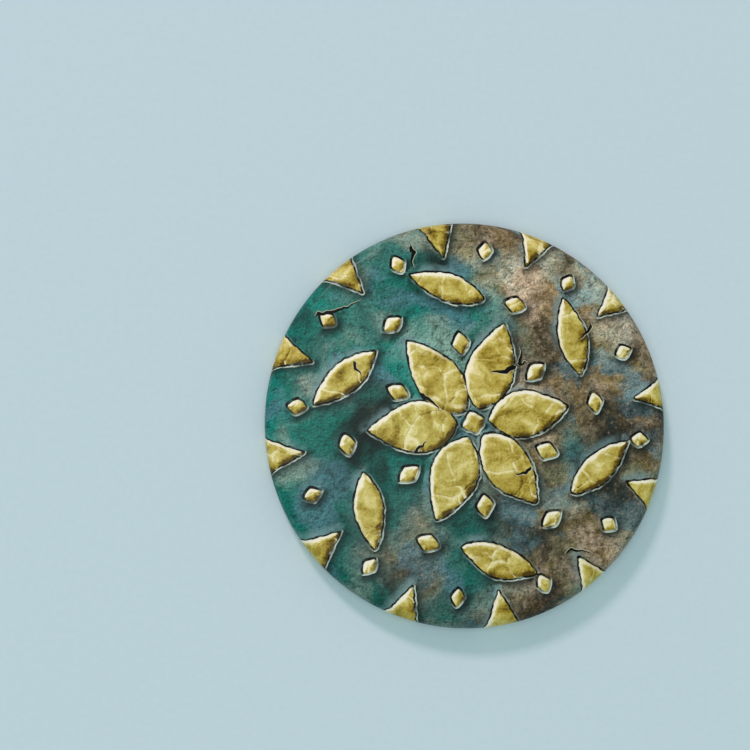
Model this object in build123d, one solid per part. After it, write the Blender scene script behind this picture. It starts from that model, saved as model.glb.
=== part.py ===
from build123d import *
from math import asin, atan2, cos, degrees, hypot, sin, sqrt
import os

# A round pin-back button badge, lying face up on its back bead. Millimetres, +Z out of the face,
# origin at the centre of the bead's flat land, the spring wire's arm parallel to X on the +Y side.

# The printed dome
badge_radius = 29.0
badge_height = 7.1
shoulder_radius = 2.1
hem_radius = 1.5
side_straight = 0.3
hem_lift = 0.35
cover_wall = 0.2
shell_wall = 0.28

# The pressed back plate
plate_wall = 0.3
bead_gap = 0.15
bead_width = 1.05
bead_rise = 0.62
bead_bend = 0.25
flange_width = 5.8
step_rise = 0.27
step_run = 0.15
step_bend = 0.18
lip_reach = 0.55
lip_lift = 0.27

# The two pockets pressed into the panel
pocket_margin = 0.75
pocket_mouth = 0.2
coil_pocket_length = 6.5
coil_pocket_width = 4.1
coil_pocket_depth = 0.75
catch_pocket_radius = 3.3
catch_pocket_depth = 0.6
catch_pocket_inset = 0.7
head_room = 0.15

# The spring wire
wire_diameter = 0.78
arm_offset = 9.0
arm_overhang = 3.0
point_length = 3.0
point_tip_radius = 0.06
limb_inset = 1.1
limb_bend = 1.0
coil_length = 3.5
coil_rise = 1.18
coil_pitch = 0.8
coil_bend = 0.56
hook_width = 3.9
hook_reach = 3.4
hook_back = 1.05
hook_lean = 0.5
hook_flare = 0.7
hook_bend = 0.65
hook_round_share = 0.48

# Clearances
fit_gap = 0.05
root_gap = 0.1
floor_gap = 0.1

wire_radius = wire_diameter / 2
shell_skin = cover_wall + fit_gap
inner_skin = shell_skin + shell_wall

# The dome's section: a wide crown arc, a tight shoulder, a short straight side and the turned hem
side_low = hem_lift + hem_radius
side_high = side_low + side_straight
crown_drop = badge_height - side_high
shoulder_centre = badge_radius - shoulder_radius
crown_radius = (shoulder_centre**2 + crown_drop**2 - shoulder_radius**2) / (
    2 * (crown_drop - shoulder_radius)
)
crown_centre = badge_height - crown_radius
crown_angle = degrees(asin(shoulder_centre / (crown_radius - shoulder_radius)))
hem_edge = badge_radius - hem_radius

# Radii of the back plate, from the hem inwards
bead_outer = hem_edge - bead_gap
bead_inner = bead_outer - bead_width
panel_radius = bead_inner - flange_width

# Where the coil and the catch sit along the arm's line
pocket_limit = panel_radius - pocket_margin
coil_pocket_end = coil_pocket_width / 2
coil_pocket_far = -sqrt((pocket_limit - coil_pocket_end) ** 2 - arm_offset**2)
coil_pocket_middle = coil_pocket_far - coil_pocket_end + coil_pocket_length / 2
catch_y = arm_offset - catch_pocket_inset
catch_x = sqrt((pocket_limit - catch_pocket_radius) ** 2 - catch_y**2)


def crown_height(radius, skin):
    """Height of the crown arc, set in by skin, on a circle of this radius."""
    return crown_centre + sqrt((crown_radius - skin) ** 2 - radius**2)


# The panel hangs as far under the crown as the coil's pocket needs
pocket_corner = pocket_limit + plate_wall
panel_top = crown_height(pocket_corner, inner_skin) - head_room - coil_pocket_depth
panel_height = panel_top - plate_wall

# Heights of the wire's middle, measured from the panel towards the wearer
limb_height = wire_radius + fit_gap
coil_low = limb_height - coil_pocket_depth
coil_high = coil_low + coil_rise
arm_height = coil_high + wire_diameter + fit_gap
hook_height = panel_height - floor_gap - wire_radius
leg_height = wire_radius - catch_pocket_depth + fit_gap

# The ends of the coil and of the arm
coil_far = coil_pocket_far - coil_pocket_end + 2 * wire_diameter - wire_radius + fit_gap
coil_near = coil_far + coil_length
arm_tip = catch_x + arm_overhang


def level(x, y, height):
    """A point of the wire, from its height above the panel towards the wearer."""
    return (x, y, panel_height - height)


def skin_edge(skin):
    """One side of the dome's section, set in by skin, from the crown's middle to the hem's edge."""
    turn = 90 - crown_angle
    crown = CenterArc((0, crown_centre), crown_radius - skin, 90, -crown_angle)
    shoulder = CenterArc((shoulder_centre, side_high), shoulder_radius - skin, turn, -turn)
    hem = CenterArc((hem_edge, side_low), hem_radius - skin, 0, -90)
    side = Line(shoulder @ 1, hem @ 0)
    return [crown, shoulder, side, hem]


def turned(edges):
    """The solid of a closed section of edges in radius and height, turned about the badge's axis."""
    section = Plane.XZ * make_face(edges)
    return revolve(section, Axis.Z, 360)


def pressed_skin(skin, wall):
    """A dome of one wall, set in by skin from the badge's outside."""
    outside = skin_edge(skin)
    inside = skin_edge(skin + wall)
    middle = Line(outside[0] @ 0, inside[0] @ 0)
    rim = Line(outside[-1] @ 1, inside[-1] @ 1)
    return turned([*outside, rim, *inside, middle])


def unit(start, end):
    """Direction of the run from start to end in the section."""
    reach = hypot(end[0] - start[0], end[1] - start[1])
    return ((end[0] - start[0]) / reach, (end[1] - start[1]) / reach)


def bent_side(points, bends, side):
    """One side of a bent strip: its middle line set over by side, with the bends to match."""
    runs = [unit(start, end) for start, end in zip(points, points[1:])]
    first = runs[0]
    last = runs[-1]
    corners = [(points[0][0] - first[1] * side, points[0][1] + first[0] * side)]
    radii = []
    for point, before, after, bend in zip(points[1:-1], runs, runs[1:], bends):
        turn = atan2(
            before[0] * after[1] - before[1] * after[0],
            before[0] * after[0] + before[1] * after[1],
        )
        middle = atan2(before[1], before[0]) + turn / 2
        reach = side / cos(turn / 2)
        corners.append((point[0] - sin(middle) * reach, point[1] + cos(middle) * reach))
        radii.append(bend - side if turn > 0 else bend + side)
    corners.append((points[-1][0] - last[1] * side, points[-1][1] + last[0] * side))
    return FilletPolyline(*corners, radius=radii)


def bent_strip(points, bends, wall):
    """A turned sheet of one wall that follows a middle line, with a bend at each corner."""
    under = bent_side(points, bends, wall / 2)
    over = bent_side(points, bends, -wall / 2)
    start = Line(under @ 0, over @ 0)
    end = Line(under @ 1, over @ 1)
    return turned([*under.edges(), start, end, *over.edges()])


def pressed_pocket(plate, hollow, cup, depth):
    """The plate with a pocket pressed into its panel: a cup on the far side, open to the wearer."""
    panel = Pos(0, 0, panel_height)
    return plate + extrude(panel * cup, depth + plate_wall) - extrude(panel * hollow, depth)


def back_plate():
    """The pressed back: locking lip, bead, sloping flange, small step and panel with two pockets."""
    half = plate_wall / 2
    lip_height = hem_lift + inner_skin + lip_lift + half
    step_low = panel_height + half - step_rise
    line = [
        (hem_edge + lip_reach, lip_height),
        (bead_outer - half, lip_height),
        (bead_outer - half, half),
        (bead_inner + half, half),
        (bead_inner + half, bead_rise),
        (panel_radius + step_run / 2, step_low),
        (panel_radius - step_run / 2, panel_height + half),
        (0, panel_height + half),
    ]
    bends = [bead_bend] * 4 + [step_bend] * 2
    plate = bent_strip(line, bends, plate_wall)
    coil_place = Pos(coil_pocket_middle, arm_offset)
    wall = 2 * plate_wall
    plate = pressed_pocket(
        plate,
        coil_place * SlotOverall(coil_pocket_length, coil_pocket_width),
        coil_place * SlotOverall(coil_pocket_length + wall, coil_pocket_width + wall),
        coil_pocket_depth,
    )
    catch_place = Pos(catch_x, catch_y)
    plate = pressed_pocket(
        plate,
        catch_place * Circle(catch_pocket_radius),
        catch_place * Circle(catch_pocket_radius + plate_wall),
        catch_pocket_depth,
    )
    # the panel is the flat face that looks at the wearer and holds both pockets' mouths
    panel = next(
        face
        for face in plate.faces()
        if len(face.inner_wires()) == 2 and face.normal_at().Z < 0
    )
    mouths = [edge for mouth in panel.inner_wires() for edge in mouth.edges()]
    return fillet(mouths, pocket_mouth)


def pin_arm():
    """The pointed arm: a ball at its root, a straight shank and a ground point."""
    root = level(coil_far, arm_offset, arm_height)
    shank = arm_tip - point_length - coil_far
    along = Plane(origin=root, x_dir=(0, 1, 0), z_dir=(1, 0, 0))
    neck = along.offset(shank) * Circle(wire_radius)
    tip = along.offset(shank + point_length) * Circle(point_tip_radius)
    straight = extrude(along * Circle(wire_radius), shank)
    return Pos(*root) * Sphere(wire_radius) + straight + loft([neck, tip])


def coil_path():
    """Points and bends of the coil, from the stub under the arm's root to the limb."""
    riser_y = arm_offset + coil_pitch
    drift = coil_pitch / 4
    inner_far = coil_far + coil_pitch / 2
    limb_y = arm_offset - limb_inset
    # the stub points at the arm's root and stops short of it
    lean = hypot(coil_pitch, arm_height - coil_high)
    short = (wire_radius + root_gap) / lean
    stub_height = arm_height + (coil_high - arm_height) * short
    points = [
        level(coil_far, arm_offset + coil_pitch * short, stub_height),
        level(coil_far, riser_y, coil_high),
        level(coil_far, riser_y, coil_low),
        level(coil_near, riser_y - drift, coil_low),
        level(coil_near, arm_offset + 2 * drift, coil_high),
        level(inner_far, arm_offset, coil_high),
        level(inner_far, arm_offset - drift, coil_low),
        level(coil_near, limb_y + 2 * drift, coil_low),
        level(coil_near + coil_rise, limb_y, limb_height),
    ]
    return points, [coil_bend] * 6 + [limb_bend] * 2


def hook_path():
    """Points and bends of the catch: a leg, an open loop over the arm, and the second leg."""
    left = catch_x - hook_width / 2
    right = catch_x + hook_width / 2
    fold_y = arm_offset + hook_back
    end_y = arm_offset - hook_reach
    fold_height = hook_height - hook_flare
    points = [
        level(left - 2 * hook_bend, arm_offset - limb_inset, limb_height),
        level(left, fold_y, limb_height),
        level(left, fold_y, fold_height),
        level(left - hook_lean, end_y, hook_height),
        level(right - hook_lean, end_y, hook_height),
        level(right, fold_y, fold_height),
        level(right, fold_y, leg_height),
    ]
    loop_bend = hook_width * hook_round_share
    return points, [limb_bend, hook_bend, hook_bend, loop_bend, loop_bend, hook_bend]


def pin_wire():
    """The fixed wire in one piece: the coil, the limb that lies on the panel, and the catch."""
    coil_points, coil_bends = coil_path()
    hook_points, hook_bends = hook_path()
    path = FilletPolyline(*coil_points, *hook_points, radius=coil_bends + hook_bends)
    end = Plane(origin=path @ 0, z_dir=path % 0)
    return sweep(end * Circle(wire_radius), path=path)


def save(shape, node):
    """One file for one piece."""
    export_step(shape, f"parts/{node}.step")


os.makedirs("parts", exist_ok=True)
save(pressed_skin(0, cover_wall), "printed_cover")
save(pressed_skin(shell_skin, shell_wall), "front_shell")
save(back_plate(), "back_plate")
save(pin_wire(), "pin_wire")
save(pin_arm(), "pin_arm")
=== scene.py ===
import math

import bpy
import numpy as np
from mathutils import Matrix, Vector
from mathutils.geometry import tessellate_polygon


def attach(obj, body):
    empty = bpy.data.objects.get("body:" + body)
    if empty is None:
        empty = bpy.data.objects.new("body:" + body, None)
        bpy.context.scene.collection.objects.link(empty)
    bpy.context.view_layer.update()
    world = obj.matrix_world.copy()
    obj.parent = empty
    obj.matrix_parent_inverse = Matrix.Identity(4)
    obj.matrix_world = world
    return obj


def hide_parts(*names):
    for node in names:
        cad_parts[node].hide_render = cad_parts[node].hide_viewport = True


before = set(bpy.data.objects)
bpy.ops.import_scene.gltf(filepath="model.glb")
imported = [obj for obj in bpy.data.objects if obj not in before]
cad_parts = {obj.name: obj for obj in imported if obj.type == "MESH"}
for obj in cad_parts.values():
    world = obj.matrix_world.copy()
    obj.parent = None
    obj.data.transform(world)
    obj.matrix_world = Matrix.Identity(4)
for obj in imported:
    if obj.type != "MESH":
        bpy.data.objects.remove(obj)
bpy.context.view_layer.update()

# A round pin-back button badge: a print under a satin film, drawn over a steel shell, a tinned steel back
# with a bead, and a nickel-plated spring wire. Lengths are in millimetres until a mesh is made.
MM = 0.001

# The dome's section, as in the part's source
BADGE_RADIUS = 29.0
BADGE_HEIGHT = 7.1
SHOULDER_RADIUS = 2.1
HEM_RADIUS = 1.5
SIDE_STRAIGHT = 0.3
HEM_LIFT = 0.35
COVER_WALL = 0.2

# The pressed back plate, from its lip inwards, as there
PLATE_WALL = 0.3
LIP_RADIUS = 28.05
LIP_HEIGHT = 1.3
BEAD_OUTER = 27.35
BEAD_INNER = 26.3
BEAD_RISE = 0.62
BEAD_BEND = 0.25
STEP_RISE = 0.27
STEP_RUN = 0.15
STEP_BEND = 0.18
PANEL_RADIUS = 20.5
PANEL_HEIGHT = 3.8136

# Its two pockets: middle x, middle y, length, width and depth of the coil's, then of the catch's
POCKETS = [
    (-14.041, 9.0, 6.5, 4.1, 0.75),
    (14.2025, 8.3, 6.6, 6.6, 0.6),
]
POCKET_MOUTH = 0.2
POCKET_FLOOR_BEND = 0.22

# How finely the plate is drawn: faces round it, degrees from one place to the next on a bend and round a
# pocket, places on a pocket's rounded edge, and the radius where the flat fill of the panel takes over
PLATE_AROUND = 360
BEND_STEP = 7
POCKET_STEP = 5
EDGE_PLACES = 7
FILL_RADIUS = 20.2

# The spring wire where its arm leaves the coil: its radius, the arm's root, the way in Y and Z that the
# coil's last run goes from there, and how long a neck closes the gap that the solids leave between them
WIRE_RADIUS = 0.39
ARM_ROOT = (-16.071, 9.0, 2.1136)
LAST_RUN = (0.8, 0.83)
NECK_LENGTH = 0.58

# How finely the neck is drawn, how far it stands off the wire and the ball so that no two faces lie in one
# place, and the angle in degrees over which an edge stays sharp
NECK_AROUND = 48
BALL_PLACES = 9
NECK_SKIN = 0.002
SHARP_EDGE = 40

# How finely the printed cover is drawn, and the square of print that its flat coordinates span
AROUND = 640
PRINT_STEP = 0.25
LINING_STEP = 3.0
PRINT_SPAN = 80.0

# The light that the artwork was painted under, from the upper left of the print, and the short step over
# which the relief's fall towards it is taken
PAINTED_LIGHT = np.array([-0.66, 0.75])
PAINTED_STEP = 0.13

# How far from the foil and from a tear their fields reach, how far a tear's lip reaches, and the widest
# that a lozenge is
FOIL_REACH = 3.0
TEAR_REACH = 0.9
TEAR_LIP = 0.55
LOZENGE_LIMIT = 3.6

# Where the badge's middle falls in the photograph, in its pixels, and how far away and on which bearing
# from that middle the camera stands
PHOTO_SIZE = 750
BADGE_PIXEL = (468.7, 423.86)
BADGE_MIDDLE = (0, 0, 3.4)
CAMERA_AWAY = 267.66
CAMERA_BEARING = (-0.188, -0.0549, 0.9806)


def linear(colour):
    """The linear colour of an sRGB hex value."""
    parts = [int(colour[place : place + 2], 16) / 255 for place in (1, 3, 5)]
    return [c / 12.92 if c <= 0.04045 else ((c + 0.055) / 1.055) ** 2.4 for c in parts] + [1.0]


def add(tree, kind, feed=None, out=0, stops=(), **settings):
    """Adds a node with its settings, feeds its sockets and gives back one of its outputs. A range node's
    sockets are 0 for the value, 1 and 2 for the range that it is in, and 3 and 4 for the one that it goes
    to. A mixing node's are 0 for the share, and 6 and 7 for the two colours."""
    made = tree.nodes.new("ShaderNode" + kind)
    for name, value in settings.items():
        setattr(made, name, value)
    for place, (position, colour) in enumerate(stops):
        marks = made.color_ramp.elements
        mark = marks[place] if place < 2 else marks.new(position)
        mark.position, mark.color = position, linear(colour)
    for key, source in (feed or {}).items():
        if isinstance(source, bpy.types.NodeSocket):
            tree.links.new(source, made.inputs[key])
        else:
            made.inputs[key].default_value = source
    return made.outputs[out]


def new_finish(name):
    """A new material, its node tree and its shader."""
    finish = bpy.data.materials.new(name)
    finish.use_nodes = True
    return finish, finish.node_tree, finish.node_tree.nodes["Principled BSDF"]


def new_object(name, data):
    """A new object in the scene."""
    made = bpy.data.objects.new(name, data)
    bpy.context.scene.collection.objects.link(made)
    return made


def smooth_mesh(name, places, faces, finish):
    """A smooth mesh of places in millimetres, with its finish."""
    mesh = bpy.data.meshes.new(name)
    mesh.from_pydata((places * MM).tolist(), [], faces)
    mesh.shade_smooth()
    mesh.materials.append(finish)
    return mesh


def lathed(line, around):
    """Rows of places or of directions: a line of them, in radius and height, turned about the axis."""
    turns = np.arange(around) * 2 * math.pi / around
    circle = np.stack([np.cos(turns), np.sin(turns)], -1)
    return np.concatenate([line[:, None, :1] * circle, np.repeat(line[:, None, 1:], around, 1)], -1)


# The printed cover's shape


def cover_side(skin, step):
    """One side of the cover's section, set in by skin: radius and height from the middle out, and the
    length up to each place."""
    side_low = HEM_LIFT + HEM_RADIUS
    side_high = side_low + SIDE_STRAIGHT
    crown_drop = BADGE_HEIGHT - side_high
    shoulder_centre = BADGE_RADIUS - SHOULDER_RADIUS
    crown_radius = (shoulder_centre**2 + crown_drop**2 - SHOULDER_RADIUS**2) / (
        2 * (crown_drop - SHOULDER_RADIUS)
    )
    crown_angle = math.asin(shoulder_centre / (crown_radius - SHOULDER_RADIUS))
    quarter = math.pi / 2
    section = []
    for centre, height, radius, start, end in [
        (0, BADGE_HEIGHT - crown_radius, crown_radius, quarter, quarter - crown_angle),
        (shoulder_centre, side_high, SHOULDER_RADIUS, quarter - crown_angle, 0),
        (BADGE_RADIUS - HEM_RADIUS, side_low, HEM_RADIUS, 0, -quarter),
    ]:
        reach = radius - skin
        turns = np.linspace(start, end, max(4, math.ceil(reach * abs(end - start) / step)) + 1)
        section.append(np.stack([centre + reach * np.cos(turns), height + reach * np.sin(turns)], 1))
    section = np.concatenate(section)
    # the crown's last place is the shoulder's first one
    runs = np.hypot(*np.diff(section, axis=0).T)
    section = section[np.concatenate([[True], runs > 1e-6])]
    runs = np.hypot(*np.diff(section, axis=0).T)
    return section, np.concatenate([[0], np.cumsum(runs)])


def closed_turning(section, around):
    """Places and faces of a closed section turned about the axis, where its first and last points are."""
    rings = section[1:-1]
    places = lathed(rings, around).reshape(-1, 3)
    top, bottom = len(places), len(places) + 1
    places = np.concatenate([places, [[0, 0, section[0, 1]], [0, 0, section[-1, 1]]]])
    here = np.arange(around)
    after = (here + 1) % around
    faces = [[top, a, b] for a, b in zip(here, after)]
    for ring in range(len(rings) - 1):
        low, high = ring * around, (ring + 1) * around
        faces += np.stack([low + here, high + here, high + after, low + after], 1).tolist()
    last = (len(rings) - 1) * around
    faces += [[bottom, last + b, last + a] for a, b in zip(here, after)]
    return places, faces


# The back plate's shape


def sheet_side(side):
    """Places on one face of the plate's section from the lip inwards, and the way that each faces. The side
    is 1 for the wearer's face and -1 for the hidden one."""
    half = PLATE_WALL / 2
    line = np.array(
        [
            (LIP_RADIUS, LIP_HEIGHT),
            (BEAD_OUTER - half, LIP_HEIGHT),
            (BEAD_OUTER - half, half),
            (BEAD_INNER + half, half),
            (BEAD_INNER + half, BEAD_RISE),
            (PANEL_RADIUS + STEP_RUN / 2, PANEL_HEIGHT + half - STEP_RISE),
            (PANEL_RADIUS - STEP_RUN / 2, PANEL_HEIGHT + half),
            (FILL_RADIUS, PANEL_HEIGHT + half),
        ]
    )
    bends = [BEAD_BEND] * 4 + [STEP_BEND] * 2
    runs = np.diff(line, axis=0)
    runs /= np.hypot(*runs.T)[:, None]
    lefts = np.stack([-runs[:, 1], runs[:, 0]], 1)
    shift = side * half
    places, facings = [line[0] + lefts[0] * shift], [lefts[0]]
    for corner, before, after, left, bend in zip(line[1:-1], runs, runs[1:], lefts, bends):
        turn = math.atan2(before[0] * after[1] - before[1] * after[0], before @ after)
        way = math.copysign(1, turn)
        centre = corner - before * bend * math.tan(abs(turn) / 2) + left * bend * way
        steps = max(3, math.ceil(abs(turn) / math.radians(BEND_STEP)))
        for angle in np.linspace(0, turn, steps):
            facing = left * math.cos(angle) - before * math.sin(angle)
            places.append(centre - facing * (bend * way - shift))
            facings.append(facing)
    places.append(line[-1] + lefts[-1] * shift)
    facings.append(lefts[-1])
    return np.array(places), np.array(facings) * side


def banded(places, facings):
    """A patch of four-cornered faces between rows that each close on themselves: their places, and the way
    that the surface faces at each."""
    patch = []
    for rows in (places, facings):
        beside = np.roll(rows, -1, 1)
        corners = np.stack([rows[:-1], rows[1:], beside[1:], beside[:-1]], 2)
        patch.append(corners.reshape(-1, 4, 3))
    return patch


def pocket_rows(pocket, offsets, heights, tilts):
    """Rows round a pocket with two round ends. Each row is set out from the pocket's wall and at a height,
    and faces by its tilt from upright."""
    x, y, length, width, _ = pocket
    turns = np.radians(np.arange(-90, 270, POCKET_STEP) + POCKET_STEP / 2)
    outward = np.stack([np.cos(turns), np.sin(turns)], -1)
    shift = np.where(outward[:, :1] > 0, 1, -1) * (length - width) / 2
    middle = np.concatenate([x + shift, np.full_like(shift, y)], 1)
    places, facings = [], []
    for offset, height, tilt in zip(offsets, heights, tilts):
        flat = middle + outward * (width / 2 + offset)
        places.append(np.concatenate([flat, np.full((len(flat), 1), height)], 1))
        upright = np.full((len(flat), 1), math.cos(tilt))
        facings.append(np.concatenate([outward * math.sin(tilt), upright], 1))
    return np.array(places), np.array(facings)


def flat_fill(loops, facing):
    """A patch of three-cornered faces that fills a flat loop round any further loops."""
    corners = [[Vector(place) for place in loop] for loop in loops]
    triangles = np.array(tessellate_polygon(corners))
    places = np.concatenate(loops)[triangles]
    return [places, np.broadcast_to(np.array([0.0, 0.0, facing]), places.shape)]


def pocket_sides(pocket):
    """The rows of one pocket: of its hollow, from its rounded mouth to the bend at its floor, and of the
    cup that stands out from the hidden side."""
    quarter = np.linspace(0, math.pi / 2, EDGE_PLACES)
    depth = pocket[-1]
    floor = PANEL_HEIGHT + depth
    mouth = (
        POCKET_MOUTH * (1 - np.sin(quarter)),
        PANEL_HEIGHT + POCKET_MOUTH * (1 - np.cos(quarter)),
        math.pi + quarter,
    )
    bend = (
        -POCKET_FLOOR_BEND * (1 - np.cos(quarter)),
        floor - POCKET_FLOOR_BEND * (1 - np.sin(quarter)),
        1.5 * math.pi - quarter,
    )
    hollow = pocket_rows(pocket, *[np.concatenate(pair) for pair in zip(mouth, bend)])
    heights = [PANEL_HEIGHT + PLATE_WALL, floor + PLATE_WALL]
    cup = pocket_rows(pocket, [PLATE_WALL] * 2, heights, [math.pi / 2] * 2)
    return hollow, cup


def plate_patches():
    """The patches of the pressed back: its two faces, its edge, the pockets, and the panel's flat fill."""
    shown, hidden = sheet_side(1), sheet_side(-1)
    edge = np.array([shown[0][0], hidden[0][0]]), np.array([[1.0, 0.0]] * 2)
    patches = [
        banded(*[lathed(line, PLATE_AROUND) for line in side]) for side in (shown, hidden, edge)
    ]
    mouths, cups = [], []
    for pocket in POCKETS:
        hollow, cup = pocket_sides(pocket)
        patches += [banded(*hollow), banded(*cup)]
        patches += [flat_fill([hollow[0][-1]], -1.0), flat_fill([cup[0][-1]], 1.0)]
        mouths.append(hollow[0][0])
        cups.append(cup[0][0])
    for holes, height, facing in (
        (mouths, PANEL_HEIGHT, -1.0),
        (cups, PANEL_HEIGHT + PLATE_WALL, 1.0),
    ):
        rim = lathed(np.array([[FILL_RADIUS, height]]), PLATE_AROUND)[0]
        patches.append(flat_fill([rim, *holes], facing))
    return patches


def back_plate(finish):
    """The pressed back as one closed sheet. Each corner of a face has its true normal, so that the bends
    and the flat panel both shine as they should."""
    corners, normals, sizes = [], [], []
    for places, facings in plate_patches():
        crossed = np.cross(places[:, 1] - places[:, 0], places[:, 2] - places[:, 0])
        backward = (crossed * facings.sum(1)).sum(1) < 0
        for kept, rows in ((corners, places), (normals, facings)):
            rows = rows.copy()
            rows[backward] = rows[backward][:, ::-1]
            kept.append(rows.reshape(-1, 3))
        sizes += [places.shape[1]] * len(places)
    spots, numbers = np.unique(np.round(np.concatenate(corners), 5), axis=0, return_inverse=True)
    faces = [face.tolist() for face in np.split(numbers.ravel(), np.cumsum(sizes)[:-1])]
    mesh = smooth_mesh("back_plate_sheet", spots, faces, finish)
    mesh.normals_split_custom_set(np.concatenate(normals).tolist())
    plate = new_object("back_plate_tinned", mesh)
    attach(plate, "badge")
    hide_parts("back_plate")


def wire_neck(finish):
    """The wire's last half millimetre from the coil to the arm, with a round end in the ball at the arm's
    root, which turns inside it."""
    turns = np.linspace(0, -math.pi / 2, BALL_PLACES)
    ball = (WIRE_RADIUS - NECK_SKIN) * np.stack([np.cos(turns), np.sin(turns)], 1)
    reach = WIRE_RADIUS + NECK_SKIN
    section = np.concatenate([[[0, NECK_LENGTH], [reach, NECK_LENGTH], [reach, 0]], ball])
    places, faces = closed_turning(section, NECK_AROUND)
    # the neck is drawn upright and then leant over to follow the coil's last run
    lean = math.atan2(*LAST_RUN)
    y = places[:, 1] * math.cos(lean) + places[:, 2] * math.sin(lean)
    z = places[:, 2] * math.cos(lean) - places[:, 1] * math.sin(lean)
    places = np.stack([places[:, 0], y, z], 1) + ARM_ROOT
    mesh = smooth_mesh("pin_wire_neck", places, faces, finish)
    mesh.set_sharp_from_angle(angle=math.radians(SHARP_EDGE))
    neck = new_object("pin_wire_neck", mesh)
    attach(neck, "badge")


# The artwork: a rosette, leaves, lozenges and a toothed border, cut by hand from gold foil


def wobbled(outline, chance, amount):
    """An outline with the slow waver of a hand-held cutter."""
    middle = outline.mean(0)
    turns = np.linspace(0, 2 * math.pi, len(outline), endpoint=False)
    waver = sum(
        chance.normal(0, amount / beats) * np.sin(beats * turns + chance.uniform(0, 2 * math.pi))
        for beats in (2, 3, 5, 7)
    )
    arms = outline - middle
    reach = np.hypot(*arms.T)[:, None]
    return middle + arms * (1 + waver[:, None] / np.maximum(reach, 1e-6))


def leaf(length, width, lean):
    """A pointed leaf along X from 0 to its length, widest before its middle if lean is over 1."""
    along = (1 - np.cos(np.linspace(0, math.pi, 32))) / 2
    # under 1, this fills out the curve of its sides
    fullness = 0.85
    half = width / 2 * np.sin(math.pi * along ** (1 / lean)) ** fullness
    upper = np.stack([along * length, half], 1)
    lower = np.stack([along[-2:0:-1] * length, -half[-2:0:-1]], 1)
    return np.concatenate([upper, lower])


def lozenge(length, width):
    """A soft-cornered lozenge about the origin."""
    turns = np.linspace(0, 2 * math.pi, 48, endpoint=False)
    # 1 would be sharp corners and straight sides, and 2 an ellipse
    roundness = 1.25
    spread = (
        np.abs(np.cos(turns) * 2 / length) ** roundness
        + np.abs(np.sin(turns) * 2 / width) ** roundness
    ) ** (-1 / roundness)
    return np.stack([spread * np.cos(turns), spread * np.sin(turns)], 1)


def tooth(length, width):
    """A triangular tooth with its point at the origin and a slight bulge, its sides drawn out along X."""
    bulge = 0.12
    along = np.linspace(0, 1, 12)
    side = np.stack([along * length, along * width / 2 + bulge * np.sin(math.pi * along)], 1)
    base = np.stack([np.full(8, length), np.linspace(width / 2, -width / 2, 8)], 1)
    return np.concatenate([side[:-1], base[:-1], (side * [1, -1])[::-1][:-1]])


def placed(outline, reach, turn, own_turn, shift=0.0):
    """An outline shifted along X, turned by its own turn, set out by reach, and carried round the middle by
    turn. Both turns are in degrees."""
    own, about = math.radians(own_turn), math.radians(turn)
    spin = np.array([[math.cos(own), math.sin(own)], [-math.sin(own), math.cos(own)]])
    carry = np.array([[math.cos(about), math.sin(about)], [-math.sin(about), math.cos(about)]])
    return ((outline + [shift, 0]) @ spin + [reach, 0]) @ carry


def foil_cuttings():
    """Every piece of gold foil in the artwork, as an outline in print millimetres."""
    chance = np.random.default_rng(41)
    cuttings = []
    for shape, count, reach, first, own_turn, shift, waver in [
        # shape, count, reach, first turn, own turn, shift, waver
        (leaf(12.2, 6.5, 1.25), 6, 2.3, 9, 0, 0, 0.18),
        (lozenge(3.2, 2.3), 6, 11.6, 39, 0, 0, 0.06),
        (leaf(11.2, 4.1, 1.1), 6, 19.6, 41, 58, -5.6, 0.14),
        (lozenge(3.0, 2.2), 6, 17.9, 10, 90, 0, 0.06),
        (lozenge(2.5, 1.9), 12, 24.9, 25, 0, 0, 0.05),
        (tooth(10.5, 9.0), 12, 24.3, 10, 0, 0, 0.08),
    ]:
        for number in range(count):
            # laid by hand: each is off by a few hundredths in size, by about 0.15 mm outwards and
            # sideways, and by 2.5 degrees
            size, slip, lift, twist = chance.normal(0, 1, 4)
            outline = wobbled(shape * (1 + 0.03 * size), chance, waver)
            turn = first + number * 360 / count + slip * 9 / max(reach, 6)
            cuttings.append(placed(outline, reach + 0.15 * lift, turn, own_turn + 2.5 * twist, shift))
    boss = placed(lozenge(3.1, 3.1), 0, 0, 20)
    cuttings.append(wobbled(boss, chance, 0.08))
    return cuttings


def near(points, outline, margin):
    """Which points lie within the outline's box and a margin."""
    low, high = outline.min(0) - margin, outline.max(0) + margin
    return np.flatnonzero(((points > low) & (points < high)).all(1))


def nearest_run(spots, starts, runs):
    """For each spot: the nearest of some straight runs, the share of it passed there, and the gap to it."""
    offset = spots[:, None] - starts
    share = np.clip((offset * runs).sum(-1) / (runs**2).sum(-1), 0, 1)
    gap = offset - share[..., None] * runs
    reach = np.hypot(gap[..., 0], gap[..., 1])
    chosen = reach.argmin(1)
    rows = np.arange(len(spots))
    return chosen, share[rows, chosen], gap[rows, chosen], reach[rows, chosen]


def surrounded(spots, outline):
    """Which spots are inside an outline: a line from there along X crosses it an odd number of times."""
    run = np.roll(outline, -1, 0) - outline
    above = outline[:, 1] > spots[:, 1:]
    crosses = above != np.roll(above, -1, 1)
    with np.errstate(divide="ignore", invalid="ignore"):
        meeting = outline[:, 0] + (spots[:, 1:] - outline[:, 1]) * run[:, 0] / run[:, 1]
    return ((crosses & (spots[:, :1] < meeting)).sum(1) % 2).astype(bool)


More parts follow.
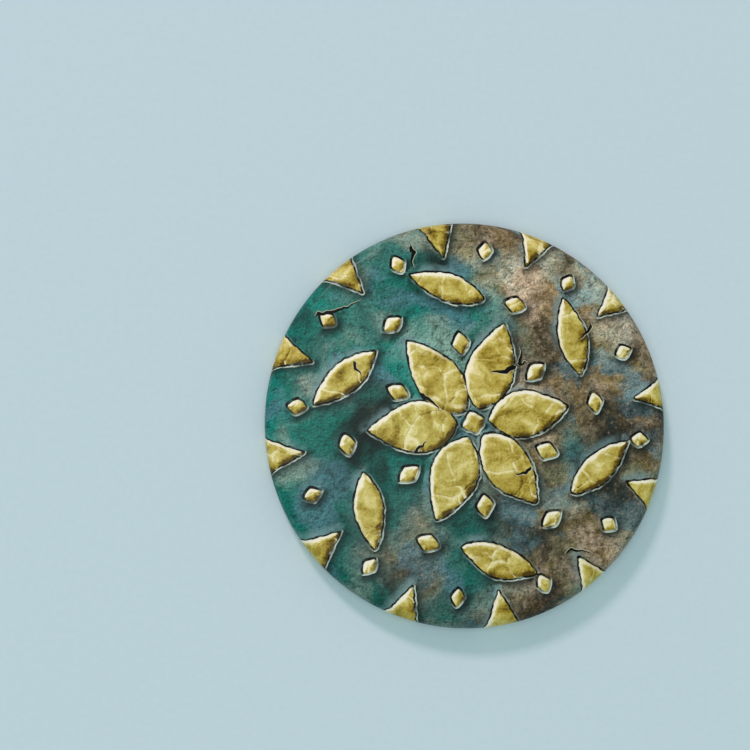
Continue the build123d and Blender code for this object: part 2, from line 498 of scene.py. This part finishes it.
def foil_fields(points):
    """At each print point: depth inside the nearest foil, how its edge meets the painted light, the foil's
    own tone, and how small it is, from 0 for a leaf to 1 for a lozenge."""
    chance = np.random.default_rng(7)
    depth = np.full(len(points), -FOIL_REACH)
    lit = np.zeros(len(points))
    tone = np.full(len(points), 0.5)
    small = np.zeros(len(points))
    for outline in foil_cuttings():
        shade = chance.uniform(0, 1)
        chosen = near(points, outline, FOIL_REACH)
        spots = points[chosen]
        _, _, gap, distance = nearest_run(spots, outline, np.roll(outline, -1, 0) - outline)
        away = gap / np.maximum(distance, 1e-6)[:, None]
        inside = surrounded(spots, outline)
        signed = np.where(inside, distance, -distance)
        outward = np.where(inside[:, None], -away, away)
        better = signed > depth[chosen]
        hit = chosen[better]
        depth[hit] = signed[better]
        lit[hit] = outward[better] @ PAINTED_LIGHT
        tone[hit] = shade
        small[hit] = float(np.ptp(outline, axis=0).max() < LOZENGE_LIMIT)
    return {"foil_depth": depth, "edge_lit": lit, "foil_tone": tone, "foil_small": small}


def tears():
    """Jagged tears in the foil and scratches in the ground: points every 0.45 mm or so along each, and its
    widest half width."""
    chance = np.random.default_rng(23)
    lines = []
    for x, y, direction, length, half in [
        # x, y, direction in degrees, length, half width
        (6.3, 8.2, 205, 4.6, 0.34),
        (6.1, 8.1, 15, 2.6, 0.17),
        (6.3, 8.4, 62, 3.2, 0.2),
        (-7.6, 4.1, 325, 4.2, 0.24),
        (-8.6, -4.3, 40, 3.2, 0.2),
        (8.4, -6.1, 200, 3.4, 0.22),
        (17.6, 14.6, 250, 3.4, 0.2),
        (-17.0, 8.6, 300, 3.0, 0.2),
        (-22.6, 15.0, 352, 8.5, 0.22),
        (13.6, -18.6, 20, 5.2, 0.16),
        (-8.6, 25.6, 290, 4.2, 0.26),
    ]:
        # its heading in radians drifts slowly, and jerks from point to point
        count = max(5, round(length / 0.45))
        drift = np.cumsum(chance.normal(0, 0.1, count))
        heading = math.radians(direction) + drift + chance.normal(0, 0.42, count)
        steps = np.stack([np.cos(heading), np.sin(heading)], 1) * length / count
        lines.append((np.concatenate([[[0, 0]], np.cumsum(steps, 0)]) + [x, y], half))
    return lines


def tear_fields(points):
    """At each print point: how far the nearest tear is and on which side, and its half width there."""
    side = np.full(len(points), TEAR_REACH)
    half_width = np.zeros(len(points))
    nearest = np.full(len(points), TEAR_REACH)
    for line, widest in tears():
        chosen = near(points, line, TEAR_REACH)
        run = np.diff(line, axis=0)
        segment, share, gap, distance = nearest_run(points[chosen], line[:-1], run)
        turned = run[segment, 0] * gap[:, 1] - run[segment, 1] * gap[:, 0]
        # it opens within a ninth of its length, and narrows over the last five eighths
        along = (segment + share) / len(run)
        width = widest * np.clip(np.minimum(along * 9, (1 - along) * 1.6), 0, 1)
        width[distance > TEAR_LIP] = 0
        better = distance < nearest[chosen]
        hit = chosen[better]
        nearest[hit] = distance[better]
        side[hit] = (np.sign(turned) * distance)[better]
        half_width[hit] = width[better]
    return {"tear_side": side, "tear_half": half_width}


def printed_cover(finish):
    """The laminated print as one closed skin, drawn fine enough to carry the cut edges of the artwork."""
    outside, length = cover_side(0, PRINT_STEP)
    inside, _ = cover_side(COVER_WALL, LINING_STEP)
    section = np.concatenate([outside, inside[::-1]])
    places, faces = closed_turning(section, AROUND)
    mesh = smooth_mesh("printed_cover_skin", places, faces, finish)

    # the print lies on the skin as its flat sheet did: by the length along the section from the middle
    under = np.interp(inside[::-1][:, 0], outside[:, 0], length)
    laid = np.concatenate([length, under])[1:-1]
    flat = lathed(np.stack([laid, laid], 1), AROUND)[..., :2].reshape(-1, 2)
    flat = np.concatenate([flat, [[0, 0], [0, 0]]])
    corners = np.zeros(len(mesh.loops), np.int32)
    mesh.loops.foreach_get("vertex_index", corners)
    sheet = mesh.uv_layers.new(name="print")
    sheet.uv.foreach_set("vector", (flat[corners] / PRINT_SPAN + 0.5).astype(np.float32).ravel())
    for name, values in {**foil_fields(flat), **tear_fields(flat)}.items():
        field = mesh.attributes.new(name, "FLOAT", "POINT")
        field.data.foreach_set("value", values.astype(np.float32))
    cover = new_object("printed_cover_film", mesh)
    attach(cover, "badge")
    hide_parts("printed_cover")


# The print's patterns and inks


def beaten_relief():
    """A group that gives the heights of beaten foil and of corroded bronze at a place in print millimetres,
    and how far the nearest crease is, in shares of a crumpled cell."""
    group = bpy.data.node_groups.new("beaten_relief", "ShaderNodeTree")
    group.interface.new_socket("Place", in_out="INPUT", socket_type="NodeSocketVector")
    for name in ("Foil", "Bronze", "Cell"):
        group.interface.new_socket(name, in_out="OUTPUT", socket_type="NodeSocketFloat")
    place = group.nodes.new("NodeGroupInput").outputs[0]
    result = group.nodes.new("NodeGroupOutput")

    # a slow drift of about 3 mm keeps the folds from lining up
    drift = add(group, "TexNoise", {"Vector": place, "Scale": 1 / 3.3, "Detail": 1.0}, out="Color")
    pushed = add(
        group, "VectorMath", {0: drift, 1: (3.2, 3.2, 0.0), 2: place}, operation="MULTIPLY_ADD"
    )
    # folds 3.7 mm apart, creases round cells of 5.3 mm, and dents of 0.8 mm that leave smooth places
    folds = add(group, "TexNoise", {"Vector": pushed, "Scale": 1 / 3.7, "Detail": 2.0, "Roughness": 0.4})
    dents = add(group, "TexNoise", {"Vector": pushed, "Scale": 1 / 0.8, "Detail": 3.0, "Roughness": 0.58})
    struck = add(group, "TexNoise", {"Vector": place, "Scale": 1 / 3.3, "Detail": 1.0})
    struck = add(group, "MapRange", {0: struck, 1: 0.42, 2: 0.58, 3: 0.2, 4: 1.2})
    dents = add(group, "Math", {0: dents, 1: struck}, operation="MULTIPLY")
    cell = add(group, "TexVoronoi", {"Vector": pushed, "Scale": 1 / 5.3}, feature="DISTANCE_TO_EDGE")
    crease = add(
        group, "MapRange", {0: cell, 1: 0.0, 2: 0.05, 3: -0.3, 4: 0.0}, interpolation_type="SMOOTHSTEP"
    )
    foil = add(group, "Math", {0: folds, 1: 2.15, 2: crease}, operation="MULTIPLY_ADD")
    foil = add(group, "Math", {0: dents, 1: 0.66, 2: foil}, operation="MULTIPLY_ADD")

    # the corrosion's crust: grains from 0.6 mm down
    crust = add(group, "TexNoise", {"Vector": place, "Scale": 1 / 0.6, "Detail": 5.0, "Roughness": 0.72})
    for name, height in (("Foil", foil), ("Cell", cell), ("Bronze", crust)):
        group.links.new(height, result.inputs[name])
    return group


def print_patterns(tree, place):
    """The patterns that the inks follow, each from the size of its largest parts in millimetres."""
    drift = add(tree, "TexNoise", {"Vector": place, "Scale": 1 / 6.25, "Detail": 2.0}, out="Color")
    swirl = add(tree, "VectorMath", {0: drift, 1: (6.0, 6.0, 0.0), 2: place}, operation="MULTIPLY_ADD")
    patterns = {}
    for name, where, size, detail, roughness in [
        ("zones", swirl, 15.4, 3.0, 0.46),
        ("stains", swirl, 11.8, 3.0, 0.5),
        ("weather", swirl, 11.1, 6.5, 0.77),
        ("blooms", swirl, 9.1, 3.0, 0.54),
        ("clouds", swirl, 3.0, 3.0, 0.6),
        ("flaking", place, 1.05, 5.0, 0.66),
        ("mottle", place, 1.0, 3.0, 0.6),
        ("speckle", place, 0.32, 2.0, 0.6),
    ]:
        grown = {"Vector": where, "Scale": 1 / size, "Detail": detail, "Roughness": roughness}
        patterns[name] = add(tree, "TexNoise", grown)
    return patterns


def relief_falls(tree, place):
    """The painted light: how far each relief falls in one short step towards it, and the foil's creases."""
    towards = (PAINTED_LIGHT[0] * PAINTED_STEP, PAINTED_LIGHT[1] * PAINTED_STEP, 0.0)
    nearer = add(tree, "VectorMath", {0: place, 1: towards}, operation="ADD")
    relief = beaten_relief()
    here, there = [add(tree, "Group", {0: spot}, node_tree=relief).node for spot in (place, nearer)]
    falls = [
        add(tree, "Math", {0: here.outputs[name], 1: there.outputs[name]}, operation="SUBTRACT")
        for name in ("Foil", "Bronze")
    ]
    return {"foil_fall": falls[0], "bronze_fall": falls[1], "cell": here.outputs["Cell"]}


def overprinted(tree, colour, inks):
    """A colour with inks laid over it in turn. Each has its colour, the pattern that it follows, where on
    that it starts and is full, its share there, and what else holds it back."""
    for ink, pattern, start, full, share, limits in inks:
        laid = add(
            tree, "MapRange", {0: pattern, 1: start, 2: full, 4: share}, interpolation_type="SMOOTHSTEP"
        )
        for limit in limits:
            laid = add(tree, "Math", {0: laid, 1: limit}, operation="MULTIPLY")
        colour = add(tree, "Mix", {0: laid, 6: colour, 7: linear(ink)}, out=2, data_type="RGBA")
    return colour


def foil_inks(tree, spot):
    """Gold foil, as it is printed: rolled over at its edges, bright towards the light and brown away from
    it."""
    # the gold's painted light and shade: the rolled-over edge painted bright towards the light and brown
    # away from it, broad patches of painted sheen, and the fall of the relief towards the painted light,
    # with a fine grain over all
    rolled = add(
        tree,
        "MapRange",
        {0: spot["depth"], 1: 0.0, 2: 1.1, 3: 0.52, 4: 0.0},
        interpolation_type="SMOOTHERSTEP",
    )
    broad = add(tree, "MapRange", {0: spot["clouds"], 1: 0.3, 2: 0.7, 3: 0.15, 4: 0.83}, clamp=False)
    shine = add(tree, "Math", {0: spot["foil_fall"], 1: 0.95, 2: broad}, operation="MULTIPLY_ADD")
    shine = add(tree, "Math", {0: rolled, 1: spot["edge_lit"], 2: shine}, operation="MULTIPLY_ADD")
    rubbed = add(tree, "MapRange", {0: spot["speckle"], 1: 0.3, 2: 0.7, 3: -0.1, 4: 0.1}, clamp=False)
    shine = add(tree, "Math", {0: rubbed, 1: shine}, operation="ADD")
    shine = add(tree, "Math", {0: spot["foil_small"], 1: 0.06, 2: shine}, operation="MULTIPLY_ADD")
    gold = add(
        tree,
        "ValToRGB",
        {0: shine},
        stops=[
            (0.0, "#4f4013"),
            (0.2, "#8c7b26"),
            (0.38, "#ad9f47"),
            (0.52, "#c0b560"),
            (0.66, "#cfc87a"),
            (0.82, "#e4dda4"),
            (1.0, "#f8f6e0"),
        ],
    )
    # some pieces, and patches of 1 mm in each, are a warmer gold
    warm = add(tree, "Math", {0: spot["mottle"], 1: 1.8, 2: spot["foil_tone"]}, operation="MULTIPLY_ADD")
    warm = add(tree, "MapRange", {0: warm, 1: 0.7, 2: 2.0, 3: 0.0, 4: 0.6})
    tinted = {0: warm, 6: gold, 7: linear("#f7e9c4")}
    gold = add(tree, "Mix", tinted, out=2, data_type="RGBA", blend_type="MULTIPLY")

    # a painted highlight on the crease ridges in places, and a painted highlight along the edge that faces
    # the light: 0.4 mm of nearly white gold, broken in patches
    crease_highlight_patches = add(tree, "MapRange", {0: spot["clouds"], 1: 0.45, 2: 0.55, 4: 0.8})
    facing = add(tree, "MapRange", {0: spot["edge_lit"], 1: 0.1, 2: 0.6, 4: 0.95})
    broken_highlight = add(tree, "MapRange", {0: spot["mottle"], 1: 0.38, 2: 0.5, 3: 0.45, 4: 1.0})
    return overprinted(
        tree,
        gold,
        [
            ("#ece6b4", spot["cell"], 0.03, 0.008, 1.0, [crease_highlight_patches]),
            ("#f3f0dc", spot["depth"], 0.46, 0.3, 1.0, [facing, broken_highlight]),
        ],
    )


def bronze_inks(tree, spot):
    """Corroded bronze, as it is printed: teal verdigris on the print's left, thinner and browner towards
    its right, and lighter above than below."""
    across, upward = [add(tree, "SeparateXYZ", {0: spot["sheet"]}, out=way) for way in "XY"]
    leaning = add(tree, "MapRange", {0: across, 1: 0.2, 2: 0.8, 3: 0.02, 4: 0.3}, clamp=False)
    ageing = add(tree, "Math", {0: spot["zones"], 1: 0.68, 2: leaning}, operation="MULTIPLY_ADD")
    bronze = add(
        tree,
        "ValToRGB",
        {0: ageing},
        stops=[
            (0.32, "#117267"),
            (0.4, "#18665b"),
            (0.46, "#33665e"),
            (0.5, "#5d7a71"),
            (0.54, "#6b7056"),
            (0.59, "#6c613f"),
            (0.66, "#75633f"),
            (0.76, "#958566"),
        ],
    )

    # rosy, brown and flaking where it is bare, with bluish, bleached and sooty regions throughout
    bare = add(tree, "MapRange", {0: ageing, 1: 0.46, 2: 0.58})
    flaky = add(tree, "MapRange", {0: spot["blooms"], 1: 0.4, 2: 0.56, 3: 0.25, 4: 1.0})
    flaky = add(tree, "Math", {0: flaky, 1: bare}, operation="MULTIPLY")
    # in turn: rose, umber, blue, bleached, chalky, pale flakes, dark chips, soot, dark clouds, dark specks
    bronze = overprinted(
        tree,
        bronze,
        [
            ("#9d8d79", spot["blooms"], 0.5, 0.66, 0.72, [bare]),
            ("#54432f", spot["stains"], 0.5, 0.37, 0.75, [bare]),
            ("#4b7580", spot["blooms"], 0.49, 0.38, 0.68, []),
            ("#8b9c8f", spot["stains"], 0.54, 0.68, 0.55, []),
            ("#8e9484", spot["mottle"], 0.52, 0.72, 0.3, [bare]),
            ("#9b8d78", spot["flaking"], 0.53, 0.57, 0.5, [flaky]),
            ("#3a2d20", spot["flaking"], 0.46, 0.42, 0.55, [flaky]),
            ("#182622", spot["stains"], 0.44, 0.3, 0.95, []),
            ("#152924", spot["clouds"], 0.47, 0.3, 0.35, []),
            ("#1b2a23", spot["mottle"], 0.49, 0.3, 0.6, []),
        ],
    )

    # light and dark in it at every size from 11 mm down, deeper where it is bare, and then the crust's grain
    # and the painted light on that
    shade = add(tree, "MapRange", {0: spot["weather"], 1: 0.3, 2: 0.7, 3: -0.9, 4: 1.04}, clamp=False)
    depth_of_shade = add(tree, "MapRange", {0: bare, 3: 0.62, 4: 1.25})
    shade = add(tree, "Math", {0: shade, 1: depth_of_shade, 2: 1.05}, operation="MULTIPLY_ADD")
    shade = add(tree, "Math", {0: shade, 1: 0.15}, operation="MAXIMUM")
    lighter_above = add(tree, "MapRange", {0: upward, 1: 0.26, 2: 0.74, 3: 0.85, 4: 1.14}, clamp=False)
    shade = add(tree, "Math", {0: shade, 1: lighter_above}, operation="MULTIPLY")
    bronze = add(tree, "VectorMath", {0: bronze, "Scale": shade}, operation="SCALE")
    grain = add(tree, "MapRange", {0: spot["speckle"], 1: 0.3, 2: 0.7, 3: 0.69, 4: 1.31}, clamp=False)
    grain = add(tree, "Math", {0: spot["bronze_fall"], 1: 3.0, 2: grain}, operation="MULTIPLY_ADD")
    bronze = add(tree, "VectorMath", {0: bronze, "Scale": grain}, operation="SCALE")

    # grit: pale rounded grains of 0.3 to 0.5 mm, some brighter than others; and pits 1.2 mm apart
    grit = add(tree, "TexVoronoi", {"Vector": spot["place"], "Scale": 1 / 0.6}).node
    brighter = add(tree, "SeparateXYZ", {0: grit.outputs["Color"]}, out="X")
    brighter = add(tree, "MapRange", {0: brighter, 1: 0.6, 2: 0.95, 4: 0.42})
    pits = add(tree, "TexVoronoi", {"Vector": spot["place"], "Scale": 1 / 1.2})

    # round the foil the bronze lies a little lower, and its relief is painted: a painted highlight on its
    # bank towards the light; away from it a painted shadow, and a thin painted highlight where it rises
    # again. A dark line is cut all round the foil
    turned_away = add(tree, "MapRange", {0: spot["edge_lit"], 1: 0.15, 2: -0.55})
    turned_to = add(tree, "MapRange", {0: spot["edge_lit"], 1: 0.1, 2: 0.8})
    banked = add(tree, "MapRange", {0: spot["foil_small"], 3: 1.0, 4: 0.25})
    # a lozenge is a small dome in a dimple: its dark line widens towards the light into the dimple's painted
    # shadow, and is thin away from it
    dimple = add(tree, "Math", {0: spot["foil_small"], 1: spot["edge_lit"]}, operation="MULTIPLY")
    line_depth = add(tree, "Math", {0: dimple, 1: 0.15, 2: spot["depth"]}, operation="MULTIPLY_ADD")
    fading = add(tree, "MapRange", {0: dimple, 1: -0.7, 2: 0.0, 3: 0.45, 4: 1.0})
    uneven = add(tree, "MapRange", {0: spot["mottle"], 1: 0.34, 2: 0.5, 3: 0.35, 4: 1.0})
    patchy = add(tree, "MapRange", {0: spot["clouds"], 1: 0.4, 2: 0.56, 3: 0.15, 4: 1.0})
    # in turn: grit, pits, the bank's painted shadow, its painted highlight, the painted highlight where it
    # rises, and the cut line
    return overprinted(
        tree,
        bronze,
        [
            ("#ab967c", grit.outputs["Distance"], 0.5, 0.2, 1.0, [brighter, bare]),
            ("#111c18", pits, 0.17, 0.06, 0.75, []),
            ("#0b1a1b", spot["depth"], -2.0, -0.3, 0.9, [turned_away]),
            ("#7f9fa1", spot["depth"], -1.7, -0.3, 0.6, [turned_to, banked, patchy]),
            ("#c6d6c6", line_depth, -0.5, -0.4, 0.95, [turned_away, patchy]),
            ("#080906", line_depth, -0.33, -0.22, 1.0, [uneven, fading]),
        ],
    )


def tear_inks(tree, spot, artwork):
    """Tears and scratches: black inside, with a thin painted highlight on the lip on the side that faces the
    light.
    """
    off = add(tree, "Math", {0: spot["tear_side"]}, operation="ABSOLUTE")
    within = add(tree, "Math", {0: spot["tear_half"], 1: off}, operation="SUBTRACT")
    torn = add(tree, "MapRange", {0: spot["tear_half"], 1: 0.01, 2: 0.06})
    facing = add(tree, "MapRange", {0: spot["tear_side"], 1: -0.02, 2: 0.02})
    return overprinted(
        tree,
        artwork,
        [
            ("#c9c8aa", within, -0.13, -0.05, 0.7, [torn, facing]),
            ("#080906", within, -0.03, 0.03, 1.0, [torn]),
        ],
    )


# The finishes


def laminated_print():
    """A digital print on paper under a satin film: every shade of the relief is ink, and the surface itself
    is smooth, so that only the film answers the lights."""
    finish, tree, shader = new_finish("laminated_print")
    sheet = add(tree, "UVMap", uv_map="print")
    place = add(tree, "VectorMath", {0: sheet, "Scale": PRINT_SPAN}, operation="SCALE")
    spot = {"sheet": sheet, "place": place, **print_patterns(tree, place), **relief_falls(tree, place)}
    for name in ("foil_depth", "edge_lit", "foil_tone", "foil_small", "tear_side", "tear_half"):
        spot[name] = add(tree, "Attribute", out="Fac", attribute_name=name)

    # a leaf's cut edge wavers by a tenth of a millimetre, and a lozenge's by half of that
    ragged = add(tree, "TexNoise", {"Vector": place, "Scale": 1 / 1.1, "Detail": 2.5})
    waver = add(tree, "MapRange", {0: ragged, 1: 0.25, 2: 0.75, 3: -0.13, 4: 0.13}, clamp=False)
    steadied = add(tree, "MapRange", {0: spot["foil_small"], 3: 1.0, 4: 0.45})
    cut = {0: waver, 1: steadied, 2: spot["foil_depth"]}
    spot["depth"] = add(tree, "Math", cut, operation="MULTIPLY_ADD")

    is_foil = add(
        tree, "MapRange", {0: spot["depth"], 1: -0.04, 2: 0.04}, interpolation_type="SMOOTHSTEP"
    )
    inks = {0: is_foil, 6: bronze_inks(tree, spot), 7: foil_inks(tree, spot)}
    artwork = add(tree, "Mix", inks, out=2, data_type="RGBA")
    tree.links.new(tear_inks(tree, spot, artwork), shader.inputs["Base Color"])

    # the film: satin polypropylene, with the paper's faint 1.4 mm unevenness under it. It takes the lights
    # as a faint broad sheen, and a thin clearer one over that
    wavy = add(tree, "TexNoise", {"Vector": place, "Scale": 1 / 1.4, "Detail": 2.0})
    rubbed = add(tree, "MapRange", {0: wavy, 1: 0.3, 2: 0.7, 3: 0.42, 4: 0.52})
    tree.links.new(rubbed, shader.inputs["Roughness"])
    uneven = add(tree, "Bump", {"Strength": 0.2, "Distance": 0.02 * MM, "Height": wavy})
    tree.links.new(uneven, shader.inputs["Normal"])
    shader.inputs["IOR"].default_value = 1.49
    shader.inputs["Specular IOR Level"].default_value = 0.06
    shader.inputs["Coat Weight"].default_value = 0.12
    shader.inputs["Coat Roughness"].default_value = 0.24
    return finish


def tinned_sheet():
    """Tinplate: cold-rolled steel sheet with a thin bright coat of tin. The grain that the rolls leave
    makes it satin."""
    finish, tree, shader = new_finish("tinned_sheet")
    here = add(tree, "TexCoord", out="Object")
    # the tin's grain is about 0.05 mm, and drawn at 0.2 mm to show; the rolls draw it out along X, and hands
    # leave faint patches of 10 mm
    grain_size = [1 / (size * MM) for size in (0.32, 0.2, 0.2)]
    along = add(tree, "Mapping", {"Vector": here, "Scale": grain_size})
    grain = add(tree, "TexNoise", {"Vector": along, "Scale": 1.0, "Detail": 3.0, "Roughness": 0.6})
    handled = add(tree, "TexNoise", {"Vector": here, "Scale": 1 / (10 * MM), "Detail": 2.0})
    colour = add(tree, "ValToRGB", {0: handled}, stops=[(0.3, "#dadddf"), (0.7, "#e2e4e5")])
    tree.links.new(colour, shader.inputs["Base Color"])
    smear = add(tree, "MapRange", {0: grain, 1: 0.3, 2: 0.7, 3: 0.25, 4: 0.33})
    tree.links.new(smear, shader.inputs["Roughness"])
    rolled = add(tree, "Bump", {"Strength": 0.5, "Distance": 0.009 * MM, "Height": grain})
    tree.links.new(rolled, shader.inputs["Normal"])
    shader.inputs["Metallic"].default_value = 1.0
    return finish


def plated_wire():
    """Nickel-plated spring steel wire: bright and a little warm, with fine lines along it from the die."""
    finish, tree, shader = new_finish("plated_wire")
    here = add(tree, "TexCoord", out="Object")
    # the die's lines are 0.14 mm apart, and 2 mm long along the arm; the plating varies every 2.5 mm
    line_size = [1 / (size * MM) for size in (2, 0.14, 0.14)]
    lines = add(tree, "Mapping", {"Vector": here, "Scale": line_size})
    drawn = add(tree, "TexNoise", {"Vector": lines, "Scale": 1.0, "Detail": 2.0})
    patchy = add(tree, "TexNoise", {"Vector": here, "Scale": 1 / (2.5 * MM), "Detail": 2.0})
    colour = add(tree, "ValToRGB", {0: patchy}, stops=[(0.3, "#c4c1bc"), (0.7, "#d8d6d2")])
    tree.links.new(colour, shader.inputs["Base Color"])
    polish = add(tree, "MapRange", {0: patchy, 1: 0.3, 2: 0.7, 3: 0.13, 4: 0.22})
    tree.links.new(polish, shader.inputs["Roughness"])
    scored = add(tree, "Bump", {"Strength": 0.3, "Distance": 0.003 * MM, "Height": drawn})
    tree.links.new(scored, shader.inputs["Normal"])
    shader.inputs["Metallic"].default_value = 1.0
    return finish


def painted_board():
    """Pale blue board under the badge: matt paint, with the faint 0.8 mm tooth of its paper face."""
    finish, tree, shader = new_finish("painted_board")
    here = add(tree, "TexCoord", out="Object")
    paper = add(tree, "TexNoise", {"Vector": here, "Scale": 1 / (0.8 * MM), "Detail": 2.0})
    colour = add(tree, "ValToRGB", {0: paper}, stops=[(0.2, "#bfd6de"), (0.8, "#c3d9e1")])
    tree.links.new(colour, shader.inputs["Base Color"])
    shader.inputs["Roughness"].default_value = 0.9
    shader.inputs["Specular IOR Level"].default_value = 0.2
    return finish


def refinish(node, finish):
    """A CAD node keeps its shape and takes a finish in each of its slots."""
    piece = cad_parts[node]
    if not piece.material_slots:
        piece.data.materials.append(finish)
    for held in piece.material_slots:
        held.material = finish


# The studio


def board_under(finish):
    """The board that the badge lies on, large enough to fill a low view."""
    half = 1500
    corners = np.array([(-half, -half, 0), (half, -half, 0), (half, half, 0), (-half, half, 0)])
    board = new_object("board", smooth_mesh("board", corners, [(0, 1, 2, 3)], finish))


def soft_panel(name, bearing, height, away, size, share, colour):
    """A round soft panel on a bearing from +X and at a height, both in degrees. Its share is the part of a
    white board's brightness that it gives."""
    data = bpy.data.lights.new(name, "AREA")
    data.shape = "DISK"
    data.size = size * MM
    data.color = linear(colour)[:3]
    turn, lift = math.radians(bearing), math.radians(height)
    back = Vector((math.cos(turn) * math.cos(lift), math.sin(turn) * math.cos(lift), math.sin(lift)))
    data.energy = share * (math.pi * away * MM) ** 2 / math.sin(lift)
    panel = new_object(name, data)
    panel.location = back * away * MM
    panel.rotation_mode = "QUATERNION"
    panel.rotation_quaternion = (-back).to_track_quat("-Z", "Y")


def room_light(colour, strength):
    """The pale room that fills the shadows."""
    room = bpy.data.worlds.new("room")
    room.use_nodes = True
    back = room.node_tree.nodes["Background"]
    back.inputs["Color"].default_value = linear(colour)
    back.inputs["Strength"].default_value = strength
    bpy.context.scene.world = room


def axes(forward, up):
    """Three square axes: along forward, as near to up as that allows, and square to both."""
    first = forward.normalized()
    third = first.cross(up).normalized()
    return Matrix([first, third.cross(first), third])


def photograph_camera():
    """A camera at the photograph's angle and distance, turned so that the badge falls at its place in the
    picture."""
    data = bpy.data.cameras.new("camera")
    data.lens = 90.0
    data.sensor_width = 36.0
    data.clip_start, data.clip_end = 0.01, 10
    camera = new_object("camera", data)
    back = Vector(CAMERA_BEARING).normalized()
    across, down = [place - PHOTO_SIZE / 2 for place in BADGE_PIXEL]
    pixel = data.sensor_width / data.lens / PHOTO_SIZE
    sight = Vector((across * pixel, -down * pixel, -1))
    up = Vector((0, 1, 0))
    camera.location = (Vector(BADGE_MIDDLE) + back * CAMERA_AWAY) * MM
    camera.rotation_mode = "QUATERNION"
    camera.rotation_quaternion = (axes(-back, up).transposed() @ axes(sight, up)).to_quaternion()
    bpy.context.scene.camera = camera


tinned = tinned_sheet()
plated = plated_wire()
printed_cover(laminated_print())
back_plate(tinned)
refinish("front_shell", tinned)
refinish("pin_wire", plated)
refinish("pin_arm", plated)
wire_neck(plated)

board_under(painted_board())
soft_panel("window", bearing=117, height=35, away=2600, size=420, share=0.275, colour="#ffdade")
soft_panel("overhead", bearing=200, height=76, away=2200, size=1900, share=0.385, colour="#f2fffd")
room_light("#f0fdfb", strength=0.41)
bpy.context.scene.view_settings.view_transform = "Standard"
photograph_camera()
